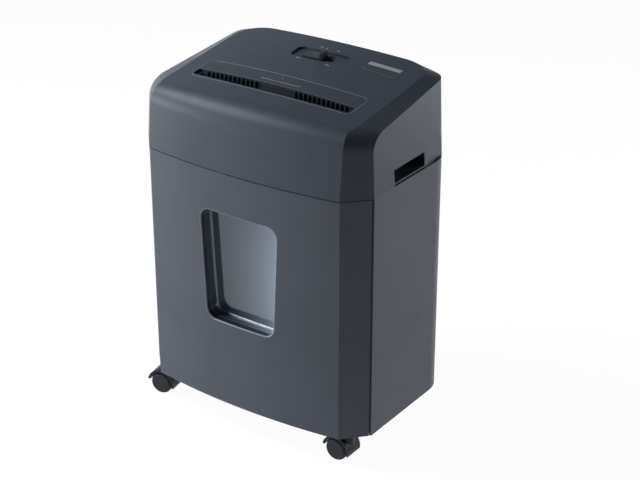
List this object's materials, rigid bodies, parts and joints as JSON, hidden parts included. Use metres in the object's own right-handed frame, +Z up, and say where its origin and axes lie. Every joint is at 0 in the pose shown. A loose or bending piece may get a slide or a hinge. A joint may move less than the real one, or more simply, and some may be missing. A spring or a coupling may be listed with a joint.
{
  "type": "paper shredder",
  "caption": "Free-standing paper shredder: sloped cutter head with feed slot and slide switch on a cabinet with a pull-out windowed bin and swivelling twin-wheel casters.",
  "frame": {"origin": "middle of the footprint on the floor under the wheels", "axes": "+Z up, the front with the bin faces -Y, +X to the viewer's right when facing the front"},
  "size_m": [0.3359, 0.2151, 0.4584],
  "materials": {
    "shell_plastic": "fine moulded grain",
    "inner_plastic": "fine moulded grain",
    "base_plastic": "plain moulded",
    "window_plastic": "smooth satin",
    "caster_plastic": "plain moulded",
    "wheel_plastic": "hard smooth tread",
    "pin_steel": "zinc plated",
    "frame_steel": "pressed sheet",
    "cutter_steel": "hardened, lightly oiled",
    "comb_plastic": "plain moulded",
    "gear_steel": "sintered, greased",
    "gear_nylon": "plain moulded",
    "bush_bronze": "sintered",
    "motor_paint": "satin",
    "motor_iron": "laminated",
    "fan_plastic": "plain moulded",
    "sensor_plastic": "plain moulded",
    "board_laminate": "laminate with solder mask",
    "strip_silver": "satin silver",
    "gland_rubber": "soft matte"
  },
  "bodies": {
    "cabinet": {"cabinet_shell": "shell_plastic", "head_cover": "shell_plastic", "head_base": "inner_plastic", "grip_pocket_left": "inner_plastic", "grip_pocket_right": "inner_plastic", "throat_guide": "inner_plastic", "motor_cradle": "inner_plastic", "cabinet_base": "base_plastic", "tie_rods": "pin_steel", "idler_axle": "pin_steel", "head_screws": "pin_steel", "frame_screws": "pin_steel", "cabinet_screws": "pin_steel", "cutter_frame_left": "frame_steel", "cutter_frame_right": "frame_steel", "stripper_comb_front": "comb_plastic", "stripper_comb_rear": "comb_plastic", "shaft_bushes": "bush_bronze", "motor_housing": "motor_paint", "motor_stator": "motor_iron", "paper_sensor": "sensor_plastic", "interlock_switch": "sensor_plastic", "slide_switch": "sensor_plastic", "capacitor": "sensor_plastic", "control_board": "board_laminate", "status_strip": "strip_silver", "cord_gland": "gland_rubber"},
    "bin": {"bin_front": "shell_plastic", "bin_tub": "inner_plastic", "bin_window": "window_plastic", "bin_screws": "pin_steel"},
    "switch_knob": {"switch_knob": "inner_plastic"},
    "cutter_rear": {"cutter_rear": "cutter_steel", "sync_gear_rear": "gear_steel", "drive_gear": "gear_steel"},
    "cutter_front": {"cutter_front": "cutter_steel", "sync_gear_front": "gear_steel"},
    "idler_gear": {"idler_gear": "gear_nylon"},
    "motor_rotor": {"motor_rotor": "motor_iron", "motor_fan": "fan_plastic", "motor_pinion": "gear_steel"},
    "paper_lever": {"paper_lever": "fan_plastic"},
    "interlock_plunger": {"interlock_plunger": "fan_plastic"},
    "caster_fl": {"caster_hood_fl": "caster_plastic", "caster_pins_fl": "pin_steel"},
    "wheel_fl_a": {"caster_wheel_fl_a": "wheel_plastic"},
    "wheel_fl_b": {"caster_wheel_fl_b": "wheel_plastic"},
    "caster_fr": {"caster_hood_fr": "caster_plastic", "caster_pins_fr": "pin_steel"},
    "wheel_fr_a": {"caster_wheel_fr_a": "wheel_plastic"},
    "wheel_fr_b": {"caster_wheel_fr_b": "wheel_plastic"},
    "caster_rl": {"caster_hood_rl": "caster_plastic", "caster_pins_rl": "pin_steel"},
    "wheel_rl_a": {"caster_wheel_rl_a": "wheel_plastic"},
    "wheel_rl_b": {"caster_wheel_rl_b": "wheel_plastic"},
    "caster_rr": {"caster_hood_rr": "caster_plastic", "caster_pins_rr": "pin_steel"},
    "wheel_rr_a": {"caster_wheel_rr_a": "wheel_plastic"},
    "wheel_rr_b": {"caster_wheel_rr_b": "wheel_plastic"}
  },
  "joints": [
    {"name": "bin_slide", "type": "slide", "parent": "cabinet", "child": "bin", "axis": [0, -1, 0], "range_m": [0, 0.2]},
    {"name": "switch_slide", "type": "slide", "parent": "cabinet", "child": "switch_knob", "axis": [1, 0, 0], "range_m": [-0.01, 0.024]},
    {"name": "cutter_rear_spin", "type": "hinge", "parent": "cabinet", "child": "cutter_rear", "pos_m": [0, -0.014, 0.397], "axis": [1, 0, 0], "continuous": true},
    {"name": "cutter_front_spin", "type": "hinge", "parent": "cabinet", "child": "cutter_front", "pos_m": [0, -0.054, 0.397], "axis": [1, 0, 0], "continuous": true},
    {"name": "idler_spin", "type": "hinge", "parent": "cabinet", "child": "idler_gear", "pos_m": [0, 0.03075, 0.4017], "axis": [1, 0, 0], "continuous": true},
    {"name": "motor_spin", "type": "hinge", "parent": "cabinet", "child": "motor_rotor", "pos_m": [0, 0.06458, 0.38939], "axis": [1, 0, 0], "continuous": true},
    {"name": "paper_lever_hinge", "type": "hinge", "parent": "cabinet", "child": "paper_lever", "pos_m": [0, -0.0184, 0.426], "axis": [1, 0, 0], "range_deg": [0, 20], "stiffness_Nm_per_rad": 0.004, "springref_deg": -17.19},
    {"name": "interlock_slide", "type": "slide", "parent": "cabinet", "child": "interlock_plunger", "axis": [0, 0, 1], "range_m": [-0.003, 0]},
    {"name": "caster_fl_swivel", "type": "hinge", "parent": "cabinet", "child": "caster_fl", "pos_m": [-0.139, -0.0745, 0.037], "axis": [0, 0, 1], "continuous": true},
    {"name": "wheel_fl_a_spin", "type": "hinge", "parent": "caster_fl", "child": "wheel_fl_a", "pos_m": [-0.14836, -0.07615, 0.0145], "axis": [-0.1736, 0.9848, 0], "continuous": true},
    {"name": "wheel_fl_b_spin", "type": "hinge", "parent": "caster_fl", "child": "wheel_fl_b", "pos_m": [-0.14836, -0.07615, 0.0145], "axis": [-0.1736, 0.9848, 0], "continuous": true},
    {"name": "caster_fr_swivel", "type": "hinge", "parent": "cabinet", "child": "caster_fr", "pos_m": [0.139, -0.0745, 0.037], "axis": [0, 0, 1], "continuous": true},
    {"name": "wheel_fr_a_spin", "type": "hinge", "parent": "caster_fr", "child": "wheel_fr_a", "pos_m": [0.1295, -0.0745, 0.0145], "axis": [0, 1, 0], "continuous": true},
    {"name": "wheel_fr_b_spin", "type": "hinge", "parent": "caster_fr", "child": "wheel_fr_b", "pos_m": [0.1295, -0.0745, 0.0145], "axis": [0, 1, 0], "continuous": true},
    {"name": "caster_rl_swivel", "type": "hinge", "parent": "cabinet", "child": "caster_rl", "pos_m": [-0.126, 0.0745, 0.037], "axis": [0, 0, 1], "continuous": true},
    {"name": "wheel_rl_a_spin", "type": "hinge", "parent": "caster_rl", "child": "wheel_rl_a", "pos_m": [-0.12354, 0.08368, 0.0145], "axis": [0.9659, -0.2588, 0], "continuous": true},
    {"name": "wheel_rl_b_spin", "type": "hinge", "parent": "caster_rl", "child": "wheel_rl_b", "pos_m": [-0.12354, 0.08368, 0.0145], "axis": [0.9659, -0.2588, 0], "continuous": true},
    {"name": "caster_rr_swivel", "type": "hinge", "parent": "cabinet", "child": "caster_rr", "pos_m": [0.126, 0.0745, 0.037], "axis": [0, 0, 1], "continuous": true},
    {"name": "wheel_rr_a_spin", "type": "hinge", "parent": "caster_rr", "child": "wheel_rr_a", "pos_m": [0.12275, 0.08343, 0.0145], "axis": [0.9397, 0.342, 0], "continuous": true},
    {"name": "wheel_rr_b_spin", "type": "hinge", "parent": "caster_rr", "child": "wheel_rr_b", "pos_m": [0.12275, 0.08343, 0.0145], "axis": [0.9397, 0.342, 0], "continuous": true}
  ],
  "couplings": [
    {"joint": "cutter_front_spin", "follows": "cutter_rear_spin", "ratio": -1},
    {"joint": "idler_spin", "follows": "cutter_rear_spin", "ratio": -4},
    {"joint": "motor_spin", "follows": "cutter_rear_spin", "ratio": 20},
    {"joint": "interlock_slide", "follows": "bin_slide", "ratio": -0.015}
  ]
}
